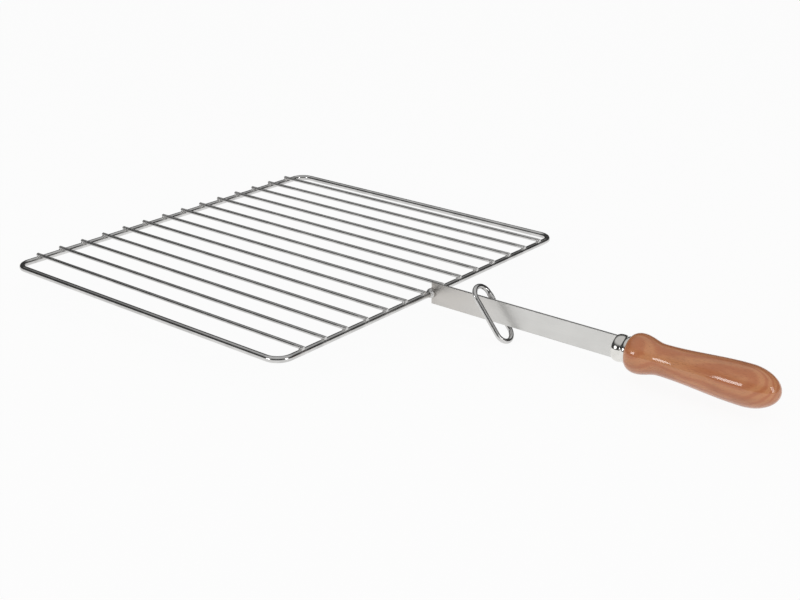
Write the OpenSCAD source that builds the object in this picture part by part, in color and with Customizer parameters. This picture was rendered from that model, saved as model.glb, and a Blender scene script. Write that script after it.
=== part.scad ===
// Grill grate: a wire frame with rods across it, a flat arm with a sliding link, and a wooden handle.
// The origin is at the centre of the frame, on the plane that the frame's underside rests on.
// +X runs along the rods towards the handle, and +Z is up.

/* [Frame] */
// Length of the frame along the rods, over the wire
frame_l = 310; // [220:1:420]
// Width of the frame across the rods, over the wire
frame_w = 350; // [240:1:460]
// Diameter of the frame wire
frame_wire_d = 5; // [4:0.1:6]
// Bend radius at the corners, to the middle of the wire
frame_bend_r = 12; // [8:0.5:20]

/* [Rods] */
// Number of rods
rod_count = 14; // [6:1:18]
// Diameter of a rod
rod_d = 3; // [2:0.1:4]
// How far a rod runs past the middle of the frame wire
rod_overhang = 2; // [1:0.1:4]
// How deep a rod is pressed into the frame wire by its weld
rod_sink = 0.5; // [0.2:0.1:0.8]
// Chamfer on a rod's cut ends
rod_chamfer = 0.3; // [0.1:0.05:0.5]

/* [Arm] */
// Length of arm that shows, from the middle of the frame wire to the ferrule
arm_l = 167.5; // [130:0.5:260]
// Height of the strip
arm_h = 18; // [15:0.1:22]
// Thickness of the strip
arm_t = 2; // [1.5:0.1:3]
// Radius on the strip's long edges
arm_edge_r = 0.4; // [0.2:0.05:0.6]
// Height of the tang at its shoulder
tang_h = 10; // [8:0.1:12]
// Height of the tang at its tip
tang_tip_h = 6; // [5:0.1:7.5]
// Length of the tang
tang_l = 64; // [40:1:75]
// Depth of the nicks in the tang's edges
tang_nick = 0.8; // [0.4:0.1:1]
// Number of nicks along each edge
tang_nicks = 4; // [2:1:6]

/* [Arm weld] */
// Height of the weld bead over the frame wire
weld_rise = 1.5; // [0.8:0.1:2.5]
// Length of the weld bead along the frame wire, from the arm's face
weld_l = 4.5; // [3:0.1:6]

/* [Link] */
// Diameter of the link's wire
link_wire_d = 4; // [3:0.1:5]
// Length of the link, over the wire
link_l = 51.2; // [46:0.1:70]
// Width of the link, over the wire
link_w = 20; // [16:0.1:26]
// Lean of the link from upright, its top towards the frame
link_lean = 39.4; // [0:0.1:45]
// Distance from the middle of the frame wire to the link's middle
link_at = 62; // [55:0.5:90]
// Height of the link's middle above the arm's middle
link_up = -0.5; // [-1:0.1:1]
// Gap between the weld bead on the link and the arm's rear face
link_gap = 0.3; // [0.2:0.1:1]
// Length of the weld bead round the joint of the link's wire
link_weld_l = 7; // [5:0.1:10]
// Height of that bead over the wire
link_weld_rise = 0.35; // [0.2:0.05:0.6]
// Gap between the wire's ends that the weld fills
link_ends_gap = 1; // [0.5:0.1:2]

/* [Ferrule] */
// Length of the ferrule
ferrule_l = 11; // [9:0.1:14]
// Thickness of its metal
ferrule_wall = 0.9; // [0.7:0.05:1.1]
// Length of the front band
ferrule_band_l = 5.6; // [4:0.1:6]
// Width of the groove behind that band
ferrule_groove_w = 2.2; // [1.5:0.1:2.6]
// Depth of the groove
ferrule_groove = 0.7; // [0.5:0.05:0.9]
// How far the edges of a band fall below its crown
ferrule_crown = 0.35; // [0.1:0.05:0.4]

/* [Handle] */
// Length of wood behind the ferrule
handle_l = 112; // [95:1:140]
// Diameter of the bulge at the front
handle_front_d = 29.5; // [28:0.1:36]
// Distance from the ferrule to the crown of that bulge
handle_front_at = 7.5; // [6:0.1:11]
// Diameter of the waist
handle_waist_d = 23; // [20:0.1:27]
// Distance from the ferrule to the waist
handle_waist_at = 25; // [20:0.5:34]
// Diameter of the swell at the rear
handle_rear_d = 29.7; // [28:0.1:36]
// Length of the rounded end behind that swell
handle_end_l = 24; // [18:0.5:32]
// Step up from the ferrule to the wood
handle_step = 0.4; // [0.2:0.1:1]

/* [Fits] */
// Clearance between the strip's corners and the ferrule's bore
mouth_clear = 0.25; // [0.1:0.05:0.6]
// How far the wood stands back inside the ferrule's mouth
mouth_depth = 2; // [1:0.1:3]
// Clearance between the wood and the ferrule, all round
spigot_clear = 0.05; // [0.03:0.01:0.1]
// Clearance between the tang and its slot, on each side
tang_clear = 0.1; // [0.05:0.01:0.2]

/* [Hidden] */
$fn = 96;
WIRE_COLOUR = [0.72, 0.72, 0.71];
ROD_COLOUR = [0.62, 0.62, 0.61];
STRIP_COLOUR = [0.83, 0.82, 0.80];
WELD_COLOUR = [0.56, 0.54, 0.52];
FERRULE_COLOUR = [0.85, 0.84, 0.81];
WOOD_COLOUR = [0.72, 0.42, 0.27];

// Frame
wire_r = frame_wire_d / 2;
wire_z = wire_r;
side_x = frame_l / 2 - wire_r;
side_y = frame_w / 2 - wire_r;
straight_x = 2 * (side_x - frame_bend_r);
straight_y = 2 * (side_y - frame_bend_r);

// Rods, spaced so that every gap across the frame is the same
rod_r = rod_d / 2;
rod_z = wire_z + wire_r + rod_r - rod_sink;
rod_l = 2 * (side_x + rod_overhang);
rod_pitch = 2 * side_y / (rod_count + 1);

// Arm, at the frame wire's height, with its shoulder against the wood
arm_x = side_x;
arm_z = wire_z;
ferrule_x = arm_x + arm_l;
shoulder_x = ferrule_x + mouth_depth;

// Link, two straight strands and two half-round bends
link_r = link_wire_d / 2;
link_bend_r = link_w / 2 - link_r;
link_strand = link_l - link_w;
link_bead_r = link_r + link_weld_rise;
link_x = arm_x + link_at;
link_y = arm_t / 2 + link_gap + link_bead_r - link_bend_r;
link_z = arm_z + link_up;
link_weld_mid = (link_strand - link_weld_l) / 2;

// Ferrule, which clears the strip's corners
bore_r = norm([arm_h / 2, arm_t / 2]) + mouth_clear;
ferrule_r = bore_r + ferrule_wall;
groove_end = ferrule_band_l + ferrule_groove_w;
rear_band_l = ferrule_l - groove_end;
ARC_STEPS = 8;

// Handle
spigot_r = bore_r - spigot_clear;
spigot_l = ferrule_l - mouth_depth;
handle_x = ferrule_x + ferrule_l;
neck_r = ferrule_r + handle_step;
front_r = handle_front_d / 2;
waist_r = handle_waist_d / 2;
rear_r = handle_rear_d / 2;
rear_at = handle_l - handle_end_l;
BLEND_STEPS = 16;
END_STEPS = 18;

ROD_NAMES = [for (i = [1 : rod_count]) str("rod_", i < 10 ? "0" : "", i)];

// Turns a profile of [radius, distance] points about the X axis
module turned(points) {
    rotate([0, 90, 0])
        rotate_extrude()
            polygon(points);
}

// A frame side across the rods, at +X or -X
module cross_side(sx) {
    translate([sx * side_x, 0, wire_z])
        rotate([90, 0, 0])
            cylinder(r = wire_r, h = straight_y, center = true);
}

// A frame side along the rods, at +Y or -Y
module long_side(sy) {
    translate([0, sy * side_y, wire_z])
        rotate([0, 90, 0])
            cylinder(r = wire_r, h = straight_x, center = true);
}

// One corner of the frame, a quarter of a ring
module frame_corner(sx, sy) {
    turn = sx > 0 ? (sy > 0 ? 0 : 270) : (sy > 0 ? 90 : 180);
    translate([sx * (side_x - frame_bend_r), sy * (side_y - frame_bend_r), wire_z])
        rotate([0, 0, turn])
            rotate_extrude(angle = 90)
                translate([frame_bend_r, 0])
                    circle(r = wire_r);
}

module frame_wire() {
    color(WIRE_COLOUR) {
        for (s = [-1, 1]) {
            cross_side(s);
            long_side(s);
        }
        for (sx = [-1, 1], sy = [-1, 1])
            frame_corner(sx, sy);
    }
}

// Rod i, counted from -Y, saddled onto the two cross sides
module rod(i) {
    color(ROD_COLOUR)
        difference() {
            translate([-rod_l / 2, (i - (rod_count + 1) / 2) * rod_pitch, rod_z])
                turned([
                    [0, 0],
                    [rod_r - rod_chamfer, 0],
                    [rod_r, rod_chamfer],
                    [rod_r, rod_l - rod_chamfer],
                    [rod_r - rod_chamfer, rod_l],
                    [0, rod_l],
                ]);
            for (s = [-1, 1])
                cross_side(s);
        }
}

// The arm's strip with its rounded long edges, from the frame wire's middle to the shoulder
module strip() {
    l = shoulder_x - arm_x;
    edge_y = arm_t / 2 - arm_edge_r;
    edge_z = arm_h / 2 - arm_edge_r;
    translate([arm_x, 0, arm_z]) {
        translate([0, -arm_t / 2, -edge_z])
            cube([l, arm_t, 2 * edge_z]);
        translate([0, -edge_y, -arm_h / 2])
            cube([l, 2 * edge_y, arm_h]);
        for (sy = [-1, 1], sz = [-1, 1])
            translate([0, sy * edge_y, sz * edge_z])
                rotate([0, 90, 0])
                    cylinder(r = arm_edge_r, h = l, $fn = 32);
    }
}

// Upper edge of the tang, grown by a clearance, with nicks of one depth
function tang_half(x, grow) = (tang_h + (tang_tip_h - tang_h) * x / tang_l) / 2 + grow;
function tang_edge(grow, nick) = [
    [-grow, tang_half(0, grow)],
    for (i = [1 : nick > 0 ? tang_nicks : 0])
        let (x = tang_l * i / (tang_nicks + 1))
            each [
                [x - 2 * nick, tang_half(x, grow)],
                [x, tang_half(x, grow) - nick],
                [x, tang_half(x, grow)],
            ],
    [tang_l + grow, tang_half(tang_l, grow)],
];

// The tang, or the slot for it, from the shoulder into the wood
module tang(grow, nick) {
    upper = tang_edge(grow, nick);
    lower = [for (i = [len(upper) - 1 : -1 : 0]) [upper[i][0], -upper[i][1]]];
    translate([shoulder_x, arm_t / 2 + grow, arm_z])
        rotate([90, 0, 0])
            linear_extrude(height = arm_t + 2 * grow)
                polygon(concat(upper, lower));
}

module arm() {
    color(STRIP_COLOUR)
        difference() {
            union() {
                strip();
                tang(0, tang_nick);
            }
            cross_side(1);
        }
}

// A ring of weld metal round the frame wire, highest at the arm's face and run out along the wire
module arm_weld(side) {
    color(WELD_COLOUR)
        translate([side_x, side * arm_t / 2, wire_z])
            rotate([-90 * side, 0, 0])
                rotate_extrude()
                    polygon([
                        [wire_r, 0],
                        for (i = [0 : ARC_STEPS - 1])
                            let (a = 90 * i / ARC_STEPS)
                                [wire_r + weld_rise * cos(a), weld_l * sin(a)],
                        [wire_r, weld_l],
                    ]);
}

// Places its children on the link, whose length is then along Z and whose width is along Y
module on_link() {
    translate([link_x, link_y, link_z])
        rotate([0, -link_lean, 0])
            children();
}

module link() {
    color(WIRE_COLOUR)
        difference() {
            on_link() {
                for (sy = [-1, 1])
                    translate([0, sy * link_bend_r, 0])
                        cylinder(r = link_r, h = link_strand, center = true);
                for (sz = [-1, 1])
                    translate([0, 0, sz * link_strand / 2])
                        rotate([sz * 90, 0, 90])
                            rotate_extrude(angle = 180)
                                translate([link_bend_r, 0])
                                    circle(r = link_r);
            }
            link_weld_shape();
        }
}

// The weld between the wire's ends, high on the strand behind the arm, with a bead round it
module link_weld_shape() {
    half = link_weld_l / 2;
    on_link()
        translate([0, link_bend_r, link_weld_mid])
            rotate_extrude()
                polygon([
                    [0, -link_ends_gap / 2],
                    [link_r, -link_ends_gap / 2],
                    [link_r, -half],
                    [link_bead_r, -half / 2],
                    [link_bead_r, half / 2],
                    [link_r, half],
                    [link_r, link_ends_gap / 2],
                    [0, link_ends_gap / 2],
                ]);
}

module link_weld() {
    color(WELD_COLOUR)
        link_weld_shape();
}

// Radius of a band at a share t of its length, and depth of the groove at a share t of its width
function band(t) = ferrule_r - ferrule_crown * pow(2 * t - 1, 2);
function groove(depth, t) = depth * sin(180 * t);

// Inside line of the ferrule's wall, less a clearance, from the groove's front to its rear
function inner_groove(clear) = [
    for (i = [0 : ARC_STEPS])
        let (t = i / ARC_STEPS)
            [bore_r - clear - groove(ferrule_groove, t), ferrule_band_l + ferrule_groove_w * t],
];

// A tube with two crowned bands, whose groove stands inwards as a bead
module ferrule() {
    outside = [
        for (i = [0 : ARC_STEPS])
            let (t = i / ARC_STEPS)
                [band(t), ferrule_band_l * t],
        for (i = [1 : ARC_STEPS - 1])
            let (t = i / ARC_STEPS)
                [band(0) - groove(ferrule_groove - ferrule_crown, t), ferrule_band_l + ferrule_groove_w * t],
        for (i = [0 : ARC_STEPS])
            let (t = i / ARC_STEPS)
                [band(t), groove_end + rear_band_l * t],
    ];
    inside = concat([[bore_r, 0]], inner_groove(0), [[bore_r, ferrule_l]]);
    color(FERRULE_COLOUR)
        translate([ferrule_x, 0, arm_z])
            turned(concat(outside, [for (i = [len(inside) - 1 : -1 : 0]) inside[i]]));
}

// The wood behind the ferrule: a rounded front, a waist, a swell and a rounded end
function ease(a, b, t) = a + (b - a) * (1 - cos(180 * t)) / 2;
function grip_points() = [
    for (i = [0 : ARC_STEPS])
        let (a = 90 * i / ARC_STEPS)
            [neck_r + (front_r - neck_r) * sin(a), handle_front_at * (1 - cos(a))],
    for (i = [1 : BLEND_STEPS])
        let (t = i / BLEND_STEPS)
            [ease(front_r, waist_r, t), handle_front_at + (handle_waist_at - handle_front_at) * t],
    for (i = [1 : BLEND_STEPS])
        let (t = i / BLEND_STEPS)
            [ease(waist_r, rear_r, t), handle_waist_at + (rear_at - handle_waist_at) * t],
    for (i = [1 : END_STEPS])
        let (a = 90 * i / END_STEPS)
            [rear_r * cos(a), rear_at + handle_end_l * sin(a)],
];

module handle() {
    spigot = concat(
        [[0, -spigot_l], [spigot_r, -spigot_l]],
        [for (p = inner_groove(spigot_clear)) [p[0], p[1] - ferrule_l]],
        [[spigot_r, 0]]);
    color(WOOD_COLOUR)
        difference() {
            translate([handle_x, 0, arm_z])
                turned(concat(spigot, grip_points()));
            tang(tang_clear, 0);
        }
}

frame_wire();
for (i = [1 : rod_count])
    rod(i);
arm();
arm_weld(-1);  // arm_weld_front
arm_weld(1);  // arm_weld_rear
link();
link_weld();
ferrule();
handle();
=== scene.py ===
"""Looks of a grill grate: bright wires and their welds, a satin arm, a loose link, a ferrule and a varnished handle."""

import math

import bpy
from bpy.props import FloatProperty, FloatVectorProperty, IntProperty, PointerProperty
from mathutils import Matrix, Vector


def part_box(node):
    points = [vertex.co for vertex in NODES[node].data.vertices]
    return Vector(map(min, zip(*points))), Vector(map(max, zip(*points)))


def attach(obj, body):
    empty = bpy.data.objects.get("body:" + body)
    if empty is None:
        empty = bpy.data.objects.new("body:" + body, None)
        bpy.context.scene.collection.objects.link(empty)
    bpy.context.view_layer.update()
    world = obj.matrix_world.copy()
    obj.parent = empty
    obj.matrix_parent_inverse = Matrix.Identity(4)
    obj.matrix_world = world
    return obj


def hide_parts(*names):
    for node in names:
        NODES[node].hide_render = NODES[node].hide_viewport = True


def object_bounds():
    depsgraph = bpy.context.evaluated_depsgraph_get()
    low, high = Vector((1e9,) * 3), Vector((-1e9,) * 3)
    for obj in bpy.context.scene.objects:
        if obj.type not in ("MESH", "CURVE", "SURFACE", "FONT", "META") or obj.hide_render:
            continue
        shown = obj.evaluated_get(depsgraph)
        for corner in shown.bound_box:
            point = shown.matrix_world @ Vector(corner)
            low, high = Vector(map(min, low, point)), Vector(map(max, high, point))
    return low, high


bl_info = {
    "name": "Grill grate",
    "version": (1, 0, 0),
    "blender": (4, 5, 0),
    "location": "3D Viewport > Sidebar > Grate",
    "description": "Finishes a grill grate on its frame, piece by piece, and lights it on a plain white floor",
    "category": "Object",
}

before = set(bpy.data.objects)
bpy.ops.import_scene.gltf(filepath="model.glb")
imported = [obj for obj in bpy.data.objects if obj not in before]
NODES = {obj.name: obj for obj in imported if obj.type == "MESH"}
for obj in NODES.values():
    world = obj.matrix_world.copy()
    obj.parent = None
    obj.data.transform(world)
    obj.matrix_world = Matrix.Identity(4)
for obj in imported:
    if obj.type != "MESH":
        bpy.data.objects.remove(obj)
CAD_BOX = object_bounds()
RODS = sorted(name for name in NODES if name.startswith("rod_"))
MM = 0.001


# Places and sizes that the frame gives

def middle(node):
    low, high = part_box(node)
    return (low + high) / 2


WIRE_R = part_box("frame_wire")[1].z / 2
WIRE_Z = WIRE_R
SIDE_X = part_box("frame_wire")[1].x - WIRE_R
SIDE_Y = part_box("frame_wire")[1].y - WIRE_R
ROD_PITCH = middle("rod_02").y - middle("rod_01").y
ARM_Z = middle("arm").z
ARM_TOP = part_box("arm")[1].z
ARM_FACE = -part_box("arm")[0].y
BEAD_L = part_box("arm_weld_rear")[1].y - ARM_FACE
BEAD_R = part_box("arm_weld_rear")[1].z - WIRE_Z
FERRULE_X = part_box("ferrule")[0].x
FERRULE_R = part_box("ferrule")[1].y
SPIGOT_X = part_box("handle")[0].x
GRIP_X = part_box("ferrule")[1].x
GRIP_END_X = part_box("handle")[1].x
SWELL_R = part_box("handle")[1].y

# The stage: sizes in metres, and each lamp's azimuth, elevation, width and height
FLOOR_SIZE = 14.0
FLOOR_GAP = 0.02 * MM
FLOOR_GLOW = 0.92
LAMP_DISTANCE = 2.2
LEFT_LAMP = (math.radians(-20), math.radians(17), 0.62, 0.46)
RIGHT_LAMP = (math.radians(84), math.radians(20), 0.50, 1.1)

TURNED_SEGMENTS = 128


# Settings that a user would change

class GRATE_PG_sizes(bpy.types.PropertyGroup):
    """Sizes of the details that the frame doesn't hold"""
    flash_rise: FloatProperty(name="Rod weld height", description="Half the height of the flash at a rod's weld",
                              default=0.95 * MM, unit="LENGTH")
    flash_along: FloatProperty(name="Rod weld length", description="Half the length of the flash along the frame wire",
                               default=2.5 * MM, unit="LENGTH")
    flash_across: FloatProperty(name="Rod weld width", description="Half the width of the flash across the frame wire",
                                default=1.9 * MM, unit="LENGTH")
    bead_ripples: IntProperty(name="Arm weld ripples", description="Ripples in each weld beside the arm",
                              default=4, min=2, max=8)
    bead_lump: FloatProperty(name="Arm weld lumps", description="How far the arm's welds swell and sink",
                             default=0.9 * MM, unit="LENGTH")
    link_lean: FloatProperty(name="Link lean", description="Lean of the link from upright, its top towards the frame",
                             default=math.radians(39.4), subtype="ANGLE")
    link_ripples: IntProperty(name="Link weld ripples", description="Ripples in the link's weld",
                              default=6, min=2, max=10)
    groove_at: FloatProperty(name="Ferrule front band", description="Length of the ferrule's front band",
                             default=5.6 * MM, unit="LENGTH")
    groove_w: FloatProperty(name="Ferrule groove", description="Width of the groove behind the front band",
                            default=2.2 * MM, unit="LENGTH")
    groove_depth: FloatProperty(name="Groove depth", description="Depth of that groove",
                                default=0.75 * MM, unit="LENGTH")
    band_crown: FloatProperty(name="Band crown", description="How far a band's edges fall below its crown",
                              default=0.45 * MM, unit="LENGTH")
    bore_r: FloatProperty(name="Ferrule bore", description="Radius of the ferrule's bore",
                          default=9.305 * MM, unit="LENGTH")
    neck_r: FloatProperty(name="Neck radius", description="Radius of the wood where it meets the ferrule",
                          default=10.6 * MM, unit="LENGTH")
    front_r: FloatProperty(name="Front bulge radius", description="Radius of the wood's front bulge",
                           default=14.75 * MM, unit="LENGTH")
    front_at: FloatProperty(name="Front bulge place", description="Distance from the ferrule to that bulge",
                            default=7.5 * MM, unit="LENGTH")
    waist_r: FloatProperty(name="Waist radius", description="Radius of the wood's waist",
                           default=11.5 * MM, unit="LENGTH")
    waist_at: FloatProperty(name="Waist place", description="Distance from the ferrule to the waist",
                            default=25 * MM, unit="LENGTH")
    end_l: FloatProperty(name="Rounded end", description="Length of the rounded end behind the swell",
                         default=24 * MM, unit="LENGTH")


class GRATE_PG_finish(bpy.types.PropertyGroup):
    """Colours of the metals and the wood"""
    wire: FloatVectorProperty(name="Wire", description="Bright drawn wire", subtype="COLOR",
                              default=(0.66, 0.655, 0.645))
    rod: FloatVectorProperty(name="Rods", description="The thinner rods' wire", subtype="COLOR",
                             default=(0.60, 0.595, 0.585))
    strip: FloatVectorProperty(name="Strip", description="The arm's rolled strip", subtype="COLOR",
                               default=(0.70, 0.695, 0.675))
    # Painted shade: the strip's colour towards the frame end, where it reflects the grate's shadow
    strip_shaded: FloatVectorProperty(name="Strip in painted shade", description="The strip's painted shade towards the frame end",
                                    subtype="COLOR", default=(0.60, 0.575, 0.545))
    weld: FloatVectorProperty(name="Weld", description="Weld metal", subtype="COLOR", default=(0.70, 0.69, 0.68))
    scale: FloatVectorProperty(name="Weld scale", description="Dark scale in the welds' hollows", subtype="COLOR",
                               default=(0.10, 0.09, 0.085))
    ferrule: FloatVectorProperty(name="Ferrule", description="Plated ferrule", subtype="COLOR",
                                 default=(0.80, 0.785, 0.75))
    wood_dark: FloatVectorProperty(name="Wood, dark", description="The wood's darkest grain", subtype="COLOR",
                                   default=(0.25, 0.066, 0.022))
    wood: FloatVectorProperty(name="Wood", description="The wood's main colour", subtype="COLOR",
                              default=(0.50, 0.165, 0.062))
    wood_light: FloatVectorProperty(name="Wood, light", description="The wood's lightest grain", subtype="COLOR",
                                    default=(0.64, 0.275, 0.115))


class GRATE_PG_stage(bpy.types.PropertyGroup):
    """Floor, lamps, surroundings and camera"""
    fill: FloatProperty(name="Fill", description="Brightness of the surroundings on plain surfaces", default=0.62)
    dark: FloatProperty(name="Dark room", description="Brightness of the low surroundings in reflections",
                        default=0.05)
    bright: FloatProperty(name="Bright ceiling", description="Brightness of the high surroundings in reflections",
                          default=0.62)
    left_power: FloatProperty(name="Left lamp", description="Power of the soft lamp at the left",
                              default=7.0, unit="POWER")
    right_power: FloatProperty(name="Right lamp", description="Power of the soft lamp at the right",
                               default=9.0, unit="POWER")
    eye: FloatVectorProperty(name="Camera", description="Place of the camera", subtype="XYZ", unit="LENGTH",
                             default=(0.7326, -0.7465, 0.3731), precision=4)
    azimuth: FloatProperty(name="Azimuth", description="Camera's turn from looking along +Y", subtype="ANGLE",
                           default=math.radians(39.4))
    elevation: FloatProperty(name="Elevation", description="Camera's height above the horizon", subtype="ANGLE",
                             default=math.radians(21.75))
    lens: FloatProperty(name="Lens", description="Focal length on a 36 mm sensor", default=57.83, unit="CAMERA")


def sizes():
    return bpy.context.scene.grate_sizes


def finish():
    return bpy.context.scene.grate_finish


def stage():
    return bpy.context.scene.grate_stage


# Shader maths

class Value:
    """A shader socket on which Python's operators add Math nodes"""

    def __init__(self, shader, socket):
        self.shader, self.socket = shader, socket

    def math(self, operation, *values):
        return self.shader.node("ShaderNodeMath", {"operation": operation}, values)

    def __add__(self, other):
        return self.math("ADD", self, other)

    __radd__ = __add__

    def __sub__(self, other):
        return self.math("SUBTRACT", self, other)

    def __rsub__(self, other):
        return self.math("SUBTRACT", other, self)

    def __mul__(self, other):
        return self.math("MULTIPLY", self, other)

    __rmul__ = __mul__

    def __abs__(self):
        return self.math("ABSOLUTE", self)

    def __pow__(self, other):
        return self.math("POWER", self, other)

    def rise(self, start, end):
        """0 below start, 1 above end, and smooth between them; it falls where start is the larger"""
        settings = {"interpolation_type": "SMOOTHSTEP", "clamp": True}
        if start < end:
            return self.shader.node("ShaderNodeMapRange", settings, (self, start, end, 0.0, 1.0))
        return self.shader.node("ShaderNodeMapRange", settings, (self, end, start, 1.0, 0.0))


class Shader:
    """A node tree that materials and the world are written in"""

    def __init__(self, tree):
        self.tree = tree
        tree.nodes.clear()

    def node(self, kind, settings=None, inputs=(), output=0):
        """Adds a node: its settings first, then the values or links of its sockets by order or name"""
        made = self.tree.nodes.new(kind)
        for key, value in (settings or {}).items():
            setattr(made, key, value)
        pairs = inputs.items() if isinstance(inputs, dict) else enumerate(inputs)
        for key, value in pairs:
            if isinstance(value, Value):
                self.tree.links.new(value.socket, made.inputs[key])
            elif value is not None:
                made.inputs[key].default_value = value
        return Value(self, made.outputs[output]) if made.outputs else None

    def coords(self, size, centre=(0, 0, 0)):
        """Object coordinates about a centre, counted in features of a size in millimetres"""
        point = self.node("ShaderNodeTexCoord", output=3)
        if any(centre):
            point = self.node("ShaderNodeVectorMath", {"operation": "SUBTRACT"}, (point, centre))
        scale = tuple(1 / (MM * s) for s in size)
        return self.node("ShaderNodeVectorMath", {"operation": "MULTIPLY"}, (point, scale))

    def axis(self, point, index):
        return self.node("ShaderNodeSeparateXYZ", inputs=(point,), output=index)

    def noise(self, point, detail=2.0, rough=0.5, distortion=0.0):
        inputs = {"Vector": point, "Scale": 1.0, "Detail": detail, "Roughness": rough, "Distortion": distortion}
        return self.node("ShaderNodeTexNoise", inputs=inputs)

    def mix(self, factor, a, b, blend="MIX"):
        """Mixes two colours"""
        a, b = (c if isinstance(c, Value) else (*c, 1.0) for c in (a, b))
        settings = {"data_type": "RGBA", "blend_type": blend, "clamp_factor": True}
        return self.node("ShaderNodeMix", settings, {0: factor, 6: a, 7: b}, output=2)

    def bump(self, height, distance, strength=1.0):
        return self.node("ShaderNodeBump", inputs={"Height": height, "Distance": distance, "Strength": strength})

    def surface(self, inputs):
        shader = self.node("ShaderNodeBsdfPrincipled", inputs=inputs)
        self.node("ShaderNodeOutputMaterial", inputs={"Surface": shader})


def new_material(name):
    material = bpy.data.materials.new(name)
    material.use_nodes = True
    return material, Shader(material.node_tree)


def near_rods(shader, near, far):
    """1 beside a rod's weld on the frame's two cross sides, 0 away from it"""
    point = shader.coords((1, 1, 1))
    x, y = abs(shader.axis(point, 0)), shader.axis(point, 1)
    pitch = ROD_PITCH / MM
    rows = y * (1 / pitch) + 0.5
    beside = rows.math("PINGPONG", rows, 0.5) * pitch
    inner = (SIDE_Y - ROD_PITCH / 2) / MM
    on_cross_side = x.rise((SIDE_X - 3 * WIRE_R) / MM, (SIDE_X - 2 * WIRE_R) / MM)
    return beside.rise(far, near) * on_cross_side * abs(y).rise(inner + 1, inner - 1)


def wire_material(name, colour, rough, line_size):
    """Drawn and polished steel wire, dulled a little at the welds and painted paler beside them as a highlight"""
    material, sh = new_material(name)
    lines = sh.noise(sh.coords(line_size), 3.0, 0.6)
    clouds = sh.noise(sh.coords((14, 14, 14)), 3.0, 0.6)
    specks = sh.noise(sh.coords((0.9, 0.9, 0.9)), 2.0, 0.7)
    # Beside the rod welds the wire is rougher, which is real dulling, and painted paler, which is a painted highlight
    # where the welds glint
    weld_dull_and_glint = near_rods(sh, 1.6, 5.5)
    dull = tuple(c * 0.80 for c in colour)
    pale = tuple(min(1.0, c * 1.12) for c in colour)
    tone = sh.mix(clouds.rise(0.35, 0.7), dull, colour)
    tone = sh.mix(specks.rise(0.62, 0.8) * 0.35, tone, dull)
    # Painted highlight: paler beside the rod welds
    tone = sh.mix(weld_dull_and_glint * 0.6, tone, pale)
    roughness = rough + clouds * 0.06 + lines * 0.04 + specks.rise(0.6, 0.8) * 0.08 + weld_dull_and_glint * 0.16
    height = lines * 0.5 + specks * 0.5 + clouds * 1.5
    relief = sh.bump(height, 0.02 * MM, 0.35)
    sh.surface({"Base Color": tone, "Metallic": 1.0, "Roughness": roughness, "Normal": relief})
    return material


def strip_material():
    """Cold-rolled strip with fine lengthwise lines and a burnt tint right at the weld, in painted shade towards the
    frame end and painted darker along its top and bottom edges as shade
    """
    material, sh = new_material("rolled_strip")
    place = sh.coords((1, 1, 1))
    x, z = sh.axis(place, 0), sh.axis(place, 2)
    rolled = sh.noise(sh.coords((60, 0.25, 0.25)), 4.0, 0.65)
    across = sh.noise(sh.coords((2.2, 4, 60)), 3.0, 0.6)
    clouds = sh.noise(sh.coords((26, 8, 11)), 3.0, 0.55)
    # Painted shade: darker and warmer towards the frame end, where the strip reflects the grate's shadow
    shaded_end = x.rise(SIDE_X / MM + 95, SIDE_X / MM + 6)
    burnt = x.rise(SIDE_X / MM + 8, SIDE_X / MM + 1)
    half = (ARM_TOP - ARM_Z) / MM
    # Painted shade along the top and bottom edges and faces; these edges are also rougher
    shaded_rough_edge = abs(z - ARM_Z / MM).rise(half - 0.55, half - 0.1)
    tone = sh.mix(shaded_end, finish().strip, finish().strip_shaded)
    tone = sh.mix(clouds.rise(0.3, 0.75) * 0.35, tone, tuple(c * 0.86 for c in finish().strip))
    tone = sh.mix(rolled.rise(0.3, 0.8) * 0.16, tone, (0.42, 0.41, 0.40))
    tone = sh.mix(across.rise(0.55, 0.8) * 0.10, tone, (0.88, 0.88, 0.86))
    tone = sh.mix(burnt * 0.30, tone, (0.46, 0.43, 0.40))
    tone = sh.mix(shaded_rough_edge * 0.55, tone, (0.34, 0.335, 0.33))
    roughness = 0.27 + rolled * 0.10 + clouds * 0.08 + shaded_rough_edge * 0.12
    height = rolled + clouds * 2.0 + across * 0.4
    relief = sh.bump(height, 0.03 * MM, 0.35)
    sh.surface({"Base Color": tone, "Metallic": 1.0, "Roughness": roughness, "Normal": relief})
    return material


def weld_material(name, rough, scale_amount):
    """Bright weld metal with dark scale in its hollows"""
    material, sh = new_material(name)
    lumps = sh.noise(sh.coords((1.1, 1.1, 1.1)), 3.0, 0.6, 0.4)
    fine = sh.noise(sh.coords((0.3, 0.3, 0.3)), 2.0, 0.6)
    scale = (lumps * 0.7 + fine * 0.3).rise(0.46, 0.34) * scale_amount
    tone = sh.mix(fine.rise(0.3, 0.7), tuple(c * 0.82 for c in finish().weld), finish().weld)
    tone = sh.mix(scale, tone, finish().scale)
    roughness = rough + fine * 0.12 + scale * 0.25
    height = lumps * 2.0 + fine * 0.7
    relief = sh.bump(height, 0.12 * MM, 0.6)
    sh.surface({"Base Color": tone, "Metallic": 1.0, "Roughness": roughness, "Normal": relief})
    return material


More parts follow.
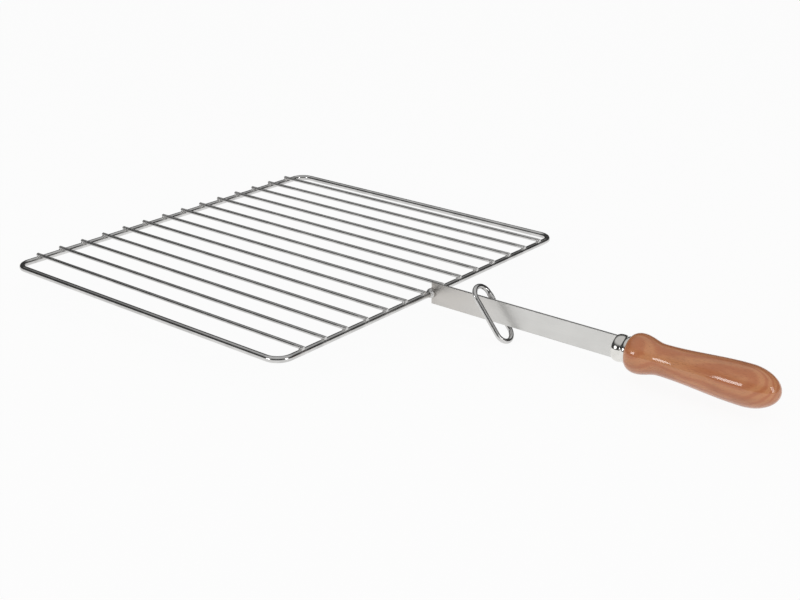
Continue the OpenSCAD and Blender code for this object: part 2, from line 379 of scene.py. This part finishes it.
def ferrule_material():
    """Nickel plate with fine turned lines and faint handling marks"""
    material, sh = new_material("ferrule_plate")
    turned_lines = sh.noise(sh.coords((0.16, 60, 60)), 2.0, 0.5)
    smudge = sh.noise(sh.coords((5, 5, 5)), 3.0, 0.6)
    pits = sh.noise(sh.coords((0.5, 0.5, 0.5)), 2.0, 0.6)
    tone = sh.mix(smudge.rise(0.4, 0.75) * 0.5, finish().ferrule, tuple(c * 0.8 for c in finish().ferrule))
    tone = sh.mix(pits.rise(0.68, 0.8) * 0.5, tone, (0.35, 0.34, 0.32))
    roughness = 0.09 + smudge * 0.10 + pits.rise(0.6, 0.8) * 0.15
    height = turned_lines + smudge * 1.2
    relief = sh.bump(height, 0.02 * MM, 0.4)
    sh.surface({"Base Color": tone, "Metallic": 1.0, "Roughness": roughness, "Normal": relief})
    return material


def wood_material():
    """Reddish-brown hardwood, grain lengthwise, with open pores under clear varnish"""
    material, sh = new_material("varnished_wood")
    drift = sh.noise(sh.coords((55, 16, 16)), 2.0, 0.5)
    wobble = sh.noise(sh.coords((16, 5, 5)), 3.0, 0.55)
    pith = sh.coords((220, 1, 1), centre=(GRIP_X, 31 * MM, -19 * MM))
    flat = sh.node("ShaderNodeVectorMath", {"operation": "LENGTH"}, (pith,), output=1)
    ring_width = 3.1
    rings = (flat + drift * 5.5 + wobble * 1.5) * (2 * math.pi / ring_width)
    wave = rings.math("SINE", rings) * 0.5 + 0.5
    fibre = sh.noise(sh.coords((9, 0.42, 0.42)), 4.0, 0.65, 0.15)
    fleck = sh.noise(sh.coords((3.6, 0.30, 0.30)), 2.0, 0.5)
    pores = fleck.rise(0.60, 0.72)
    broad = sh.noise(sh.coords((34, 11, 11)), 2.0, 0.5)
    figure = wave * 0.45 + fibre * 0.55
    tone = sh.mix(figure.rise(0.22, 0.78), finish().wood, finish().wood_light)
    tone = sh.mix(broad.rise(0.45, 0.75) * 0.55, tone, tuple(c * 0.82 for c in finish().wood))
    tone = sh.mix((wave ** 3.0) * fibre.rise(0.35, 0.7) * 0.35, tone, finish().wood_dark)
    tone = sh.mix(pores * 0.55, tone, finish().wood_dark)
    roughness = 0.42 + fibre * 0.16
    height = fibre * 0.6 - pores * 0.8
    sh.surface({
        "Base Color": tone, "Roughness": roughness, "IOR": 1.5, "Specular IOR Level": 0.35,
        "Coat Weight": 1.0, "Coat Roughness": 0.07, "Coat IOR": 1.52,
        "Normal": sh.bump(height, 0.04 * MM, 0.5),
    })
    return material


# Modelling

def deselect():
    if bpy.context.mode != "OBJECT":
        bpy.ops.object.mode_set(mode="OBJECT")
    bpy.ops.object.select_all(action="DESELECT")


def settle(name, material, body, slot, *replaced):
    """Names the active piece, puts its place in its mesh, and sets its material, body and what it replaces. Its slot
    argument is not used.
    """
    piece = bpy.context.active_object
    piece.name = piece.data.name = name
    deselect()
    piece.select_set(True)
    bpy.ops.object.transform_apply(location=True, rotation=True, scale=True)
    piece.data.materials.clear()
    piece.data.materials.append(material)
    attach(piece, body)
    if replaced:
        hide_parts(*replaced)
    deselect()
    return piece


def apply_modifiers(piece):
    for modifier in list(piece.modifiers):
        bpy.ops.object.modifier_apply(modifier=modifier.name)


def shade(piece, degrees):
    piece.select_set(True)
    bpy.ops.object.shade_smooth_by_angle(angle=math.radians(degrees))


def turn_profile(outline, closed):
    """Extrudes a ring of points along an outline of (x, radius) pairs about the handle's axis"""
    x, radius = outline[0]
    deselect()
    bpy.ops.mesh.primitive_circle_add(
        vertices=TURNED_SEGMENTS, radius=radius, fill_type="NOTHING" if closed else "NGON",
        location=(x, 0, ARM_Z), rotation=(0, math.pi / 2, 0))
    bpy.ops.object.transform_apply(location=True, rotation=True, scale=True)
    bpy.ops.object.mode_set(mode="EDIT")
    for next_x, next_radius in outline[1:]:
        bpy.ops.mesh.extrude_region_move(TRANSFORM_OT_translate={"value": (next_x - x, 0, 0)})
        share = next_radius / radius
        bpy.ops.transform.resize(value=(1, share, share), center_override=(next_x, 0, ARM_Z))
        x, radius = next_x, next_radius
    if not closed:
        bpy.ops.mesh.merge(type="COLLAPSE")
    bpy.ops.mesh.select_all(action="SELECT")
    bpy.ops.mesh.remove_doubles(threshold=0.005 * MM)
    bpy.ops.mesh.normals_make_consistent(inside=False)
    bpy.ops.object.mode_set(mode="OBJECT")
    return bpy.context.active_object


def ease(a, b, share):
    return a + (b - a) * (1 - math.cos(math.pi * share)) / 2


def grip_outline():
    """The wood from its spigot's face to its rounded end"""
    s = sizes()
    bulge_steps, fall_steps, swell_steps, end_steps = 12, 18, 30, 24
    spigot_r = s.bore_r - 0.05 * MM
    swell_at = GRIP_END_X - s.end_l
    points = [(SPIGOT_X, spigot_r), (GRIP_X, spigot_r), (GRIP_X, s.neck_r)]
    for k in range(1, bulge_steps + 1):
        turn = math.radians(90 * k / bulge_steps)
        x = GRIP_X + s.front_at * (1 - math.cos(turn))
        points.append((x, s.neck_r + (s.front_r - s.neck_r) * math.sin(turn)))
    for k in range(1, fall_steps + 1):
        x = GRIP_X + s.front_at + (s.waist_at - s.front_at) * k / fall_steps
        points.append((x, ease(s.front_r, s.waist_r, k / fall_steps)))
    start = GRIP_X + s.waist_at
    for k in range(1, swell_steps + 1):
        points.append((start + (swell_at - start) * k / swell_steps, ease(s.waist_r, SWELL_R, k / swell_steps)))
    for k in range(1, end_steps):
        turn = math.radians(90 * k / end_steps)
        points.append((swell_at + s.end_l * math.sin(turn), SWELL_R * math.cos(turn)))
    points.append((GRIP_END_X, 0.05 * MM))
    return points


def ferrule_outline():
    """The ferrule's wall, along its outside and back through its bore"""
    s = sizes()
    lip_steps, front_steps, groove_steps, rear_steps = 3, 16, 10, 9
    lip = 0.3 * MM
    length = GRIP_X - FERRULE_X
    crown = FERRULE_R - s.band_crown

    def band(start, end, at):
        share = (at - start) / (end - start)
        return FERRULE_R - s.band_crown * abs(2 * share - 1) ** 2.4

    points = [(FERRULE_X, s.bore_r + lip)]
    for k in range(lip_steps + 1):
        turn = math.radians(90 * k / lip_steps)
        points.append((FERRULE_X + lip * (1 - math.cos(turn)), crown - lip + lip * math.sin(turn)))
    for k in range(1, front_steps + 1):
        at = lip + (s.groove_at - lip) * k / front_steps
        points.append((FERRULE_X + at, band(lip, s.groove_at, at)))
    for k in range(1, groove_steps):
        points.append((FERRULE_X + s.groove_at + s.groove_w * k / groove_steps,
                       crown - (s.groove_depth - s.band_crown) * math.sin(math.pi * k / groove_steps)))
    start = s.groove_at + s.groove_w
    for k in range(rear_steps + 1):
        at = start + (length - start) * k / rear_steps
        points.append((FERRULE_X + at, band(start, length, at)))
    points.append((GRIP_X, s.bore_r))
    points.append((FERRULE_X + lip, s.bore_r))
    points.append((FERRULE_X, s.bore_r + lip))
    return points


def join_last(first):
    """Joins the piece that was just made to the first one"""
    first.select_set(True)
    bpy.context.view_layer.objects.active = first
    bpy.ops.object.join()
    return bpy.context.active_object


def lump(piece, texture, size, strength, seed):
    """Swells and sinks a piece's surface by a cloud pattern"""
    clouds = bpy.data.textures.new(texture, "CLOUDS")
    clouds.noise_scale = size
    clouds.noise_depth = 2
    anchor = bpy.data.objects.new(texture + "_anchor", None)
    bpy.context.scene.collection.objects.link(anchor)
    anchor.location = (0.013 * seed, 0.007 * seed, -0.011 * seed)
    bpy.context.view_layer.update()
    modifier = piece.modifiers.new("lumps", "DISPLACE")
    modifier.texture = clouds
    modifier.texture_coords = "OBJECT"
    modifier.texture_coords_object = anchor
    modifier.strength = strength
    modifier.mid_level = 0.5
    apply_modifiers(piece)
    bpy.data.objects.remove(anchor)
    bpy.data.textures.remove(clouds)


def fuse(piece, voxel, smooth):
    """Joins overlapping lumps into one skin and rounds it"""
    remesh = piece.modifiers.new("fuse", "REMESH")
    remesh.mode = "VOXEL"
    remesh.voxel_size = voxel
    rounding = piece.modifiers.new("round", "SMOOTH")
    rounding.factor = 0.5
    rounding.iterations = smooth
    apply_modifiers(piece)


# Operators, in the order in which main calls them

class GRATE_OT_stage(bpy.types.Operator):
    """Makes the white floor, the lamps, the surroundings and the camera"""
    bl_idname = "grate.stage"
    bl_label = "Stage"

    def execute(self, context):
        st = stage()
        deselect()
        bpy.ops.mesh.primitive_plane_add(size=FLOOR_SIZE, location=(0, 0, CAD_BOX[0].z - FLOOR_GAP))
        floor = context.active_object
        floor.name = "floor"
        material, sh = new_material("white_floor")
        path = "ShaderNodeLightPath"
        seen = sh.node(path, output=0) + sh.node(path, output=3) + sh.node(path, output=6)
        diffuse = sh.node("ShaderNodeBsdfDiffuse", inputs={"Color": (0.94, 0.94, 0.935, 1)})
        glow = sh.node("ShaderNodeEmission", inputs={"Color": (1, 1, 1, 1), "Strength": 1.0})
        both = sh.node("ShaderNodeMixShader", inputs={0: seen * FLOOR_GLOW, 1: diffuse, 2: glow})
        sh.node("ShaderNodeOutputMaterial", inputs={"Surface": both})
        floor.data.materials.append(material)

        world = bpy.data.worlds.new("studio")
        world.use_nodes = True
        context.scene.world = world
        sh = Shader(world.node_tree)
        up = sh.axis(sh.node("ShaderNodeTexCoord", output=0), 2)
        room = st.dark + up.rise(0.52, 0.80) * (st.bright - st.dark) + up.rise(0.02, -0.02) * 0.9
        glossy = sh.node(path, output=3)
        camera = sh.node(path, output=0)
        level = st.fill + glossy * (room - st.fill) + camera * (1.0 - st.fill)
        light = sh.node("ShaderNodeBackground", inputs={"Color": (1, 1, 1, 1), "Strength": level})
        sh.node("ShaderNodeOutputWorld", inputs={"Surface": light})

        self.lamp("lamp_left", *LEFT_LAMP, st.left_power)
        self.lamp("lamp_right", *RIGHT_LAMP, st.right_power)

        camera_data = bpy.data.cameras.new("camera")
        camera_data.sensor_width = 36
        camera_data.lens = st.lens
        eye = bpy.data.objects.new("camera", camera_data)
        context.scene.collection.objects.link(eye)
        eye.location = st.eye
        eye.rotation_euler = (math.pi / 2 - st.elevation, 0, st.azimuth)
        context.scene.camera = eye
        context.scene.view_settings.view_transform = "Standard"
        return {"FINISHED"}

    def lamp(self, name, azimuth, elevation, width, height, power):
        """A soft rectangular lamp that faces the grate from a direction"""
        data = bpy.data.lights.new(name, "AREA")
        data.shape = "RECTANGLE"
        data.size, data.size_y = width, height
        data.energy = power
        flat = math.cos(elevation)
        out = Vector((math.sin(azimuth) * flat, -math.cos(azimuth) * flat, math.sin(elevation)))
        made = bpy.data.objects.new(name, data)
        bpy.context.scene.collection.objects.link(made)
        made.location = Vector((0.3, 0, 0)) + out * LAMP_DISTANCE
        made.rotation_euler = (-out).to_track_quat("-Z", "Y").to_euler()
        made.visible_camera = False


class GRATE_OT_frame_wire(bpy.types.Operator):
    """Finishes the bent frame wire"""
    bl_idname = "grate.frame_wire"
    bl_label = "Frame wire"

    def execute(self, context):
        material = wire_material("frame_wire_steel", finish().wire, 0.10, (3, 3, 3))
        node = NODES["frame_wire"]
        node.data.materials.clear()
        node.data.materials.append(material)
        return {"FINISHED"}


class GRATE_OT_rods(bpy.types.Operator):
    """Finishes the rods"""
    bl_idname = "grate.rods"
    bl_label = "Rods"

    def execute(self, context):
        material = wire_material("rod_steel", finish().rod, 0.12, (30, 0.35, 0.35))
        for name in RODS:
            NODES[name].data.materials.clear()
            NODES[name].data.materials.append(material)
        return {"FINISHED"}


class GRATE_OT_rod_welds(bpy.types.Operator):
    """Adds the flash that each rod's weld squeezed out over the frame wire"""
    bl_idname = "grate.rod_welds"
    bl_label = "Rod welds"

    def execute(self, context):
        s = sizes()
        material = weld_material("rod_weld_metal", 0.20, 0.5)
        for side, name in ((1, "rod_welds_near_arm"), (-1, "rod_welds_far")):
            made = []
            for k, rod in enumerate(RODS):
                deselect()
                place = (side * SIDE_X, middle(rod).y, WIRE_Z + WIRE_R - 0.15 * MM)
                bpy.ops.mesh.primitive_ico_sphere_add(subdivisions=3, radius=1, location=place)
                piece = context.active_object
                bpy.ops.object.mode_set(mode="EDIT")
                across = s.flash_across * (1 + 0.12 * math.sin(5 * k + side))
                along = s.flash_along * (1 + 0.14 * math.sin(3 * k + 2 * side))
                bpy.ops.transform.resize(value=(across, along, s.flash_rise), center_override=place)
                bpy.ops.mesh.select_all(action="SELECT")
                bpy.ops.transform.vertex_random(offset=0.12 * MM, uniform=0.0, normal=1.0, seed=11 + k)
                bpy.ops.mesh.vertices_smooth(factor=0.5, repeat=1)
                bpy.ops.object.mode_set(mode="OBJECT")
                made.append(piece)
            deselect()
            for piece in made:
                piece.select_set(True)
            context.view_layer.objects.active = made[0]
            bpy.ops.object.join()
            piece = context.active_object
            lump(piece, "flash_lumps", size=1.6 * MM, strength=0.5 * MM, seed=3 + side)
            shade(piece, 60)
            settle(name, material, "grate", "weld")
        return {"FINISHED"}


class GRATE_OT_arm(bpy.types.Operator):
    """Finishes the flat arm"""
    bl_idname = "grate.arm"
    bl_label = "Arm"

    def execute(self, context):
        node = NODES["arm"]
        node.data.materials.clear()
        node.data.materials.append(strip_material())
        return {"FINISHED"}


class GRATE_OT_arm_welds(bpy.types.Operator):
    """Models the rippled weld beads between the arm and the frame wire"""
    bl_idname = "grate.arm_welds"
    bl_label = "Arm welds"

    def execute(self, context):
        s = sizes()
        material = weld_material("arm_weld_metal", 0.22, 0.85)
        for side, node in ((-1, "arm_weld_front"), (1, "arm_weld_rear")):
            deselect()
            for k in range(s.bead_ripples):
                share = k / (s.bead_ripples - 1)
                outer = WIRE_R + (BEAD_R - WIRE_R) * math.cos(0.42 * math.pi * share)
                minor = (1.15 - 0.35 * share) * MM
                place = (SIDE_X, side * (ARM_FACE + minor * 0.6 + (BEAD_L - 1.6 * MM) * share), WIRE_Z)
                bpy.ops.mesh.primitive_torus_add(
                    major_segments=48, minor_segments=16, location=place,
                    rotation=(math.pi / 2 + 0.10 * math.sin(4 * k), 0.12 * math.cos(3 * k), 0),
                    major_radius=outer - minor, minor_radius=minor)
                bead = join_last(bead) if k else context.active_object
            fuse(bead, voxel=0.24 * MM, smooth=3)
            lump(bead, "bead_lumps", size=2.6 * MM, strength=s.bead_lump, seed=5 + side)
            lump(bead, "bead_grain", size=0.9 * MM, strength=s.bead_lump * 0.35, seed=9 + side)
            shade(bead, 70)
            settle(node + "_bead", material, "grate", "weld", node)
        return {"FINISHED"}


class GRATE_OT_link(bpy.types.Operator):
    """Finishes the link's wire"""
    bl_idname = "grate.link"
    bl_label = "Link"

    def execute(self, context):
        node = NODES["link"]
        node.data.materials.clear()
        node.data.materials.append(wire_material("link_steel", finish().wire, 0.08, (3, 3, 3)))
        return {"FINISHED"}


class GRATE_OT_link_weld(bpy.types.Operator):
    """Models the rough weld where the link's wire ends meet"""
    bl_idname = "grate.link_weld"
    bl_label = "Link weld"

    def execute(self, context):
        s = sizes()
        low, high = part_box("link_weld")
        at = middle("link_weld")
        up = Vector((-math.sin(s.link_lean), 0, math.cos(s.link_lean)))
        outer = (high.y - low.y) / 2
        length = (high.z - low.z - 2 * outer * math.sin(s.link_lean)) / math.cos(s.link_lean)
        deselect()
        for k in range(s.link_ripples):
            share = k / (s.link_ripples - 1)
            minor = (0.75 + 0.12 * math.sin(5 * k)) * MM
            place = at + up * (length - 2 * minor) * (share - 0.5)
            bpy.ops.mesh.primitive_torus_add(
                major_segments=40, minor_segments=14, location=place,
                rotation=(0.12 * math.sin(3 * k), -s.link_lean + 0.12 * math.cos(2 * k), 0),
                major_radius=outer - minor, minor_radius=minor)
            bead = join_last(bead) if k else context.active_object
        fuse(bead, voxel=0.16 * MM, smooth=2)
        lump(bead, "link_bead_lumps", size=1.1 * MM, strength=0.28 * MM, seed=7)
        shade(bead, 70)
        settle("link_weld_bead", weld_material("link_weld_metal", 0.26, 0.9), "link", "weld", "link_weld")
        return {"FINISHED"}


class GRATE_OT_ferrule(bpy.types.Operator):
    """Turns the ferrule with its two crowned bands and rolled lip"""
    bl_idname = "grate.ferrule"
    bl_label = "Ferrule"

    def execute(self, context):
        piece = turn_profile(ferrule_outline(), closed=True)
        shade(piece, 35)
        settle("ferrule_turned", ferrule_material(), "grate", "ferrule", "ferrule")
        return {"FINISHED"}


class GRATE_OT_handle(bpy.types.Operator):
    """Turns the wooden handle"""
    bl_idname = "grate.handle"
    bl_label = "Handle"

    def execute(self, context):
        piece = turn_profile(grip_outline(), closed=False)
        shade(piece, 40)
        settle("handle_turned", wood_material(), "grate", "wood", "handle")
        return {"FINISHED"}


# Panel

class GRATE_PT_panel(bpy.types.Panel):
    """Lists the pieces in the order in which they are made"""
    bl_idname = "GRATE_PT_panel"
    bl_label = "Grill grate"
    bl_space_type = "VIEW_3D"
    bl_region_type = "UI"
    bl_category = "Grate"

    def draw(self, context):
        for operator in OPERATORS:
            self.layout.operator(operator.bl_idname)
        for group in (sizes(), finish(), stage()):
            box = self.layout.box()
            for key in group.bl_rna.properties.keys():
                if key not in ("rna_type", "name"):
                    box.prop(group, key)


OPERATORS = (
    GRATE_OT_stage, GRATE_OT_frame_wire, GRATE_OT_rods, GRATE_OT_rod_welds, GRATE_OT_arm, GRATE_OT_arm_welds,
    GRATE_OT_link, GRATE_OT_link_weld, GRATE_OT_ferrule, GRATE_OT_handle,
)
CLASSES = (GRATE_PG_sizes, GRATE_PG_finish, GRATE_PG_stage, *OPERATORS, GRATE_PT_panel)


def register():
    for cls in CLASSES:
        bpy.utils.register_class(cls)
    bpy.types.Scene.grate_sizes = PointerProperty(type=GRATE_PG_sizes)
    bpy.types.Scene.grate_finish = PointerProperty(type=GRATE_PG_finish)
    bpy.types.Scene.grate_stage = PointerProperty(type=GRATE_PG_stage)


def unregister():
    del bpy.types.Scene.grate_stage
    del bpy.types.Scene.grate_finish
    del bpy.types.Scene.grate_sizes
    for cls in reversed(CLASSES):
        bpy.utils.unregister_class(cls)


def main():
    register()
    for operator in OPERATORS:
        getattr(bpy.ops.grate, operator.bl_idname.split(".")[1])()


if __name__ == "__main__":
    main()
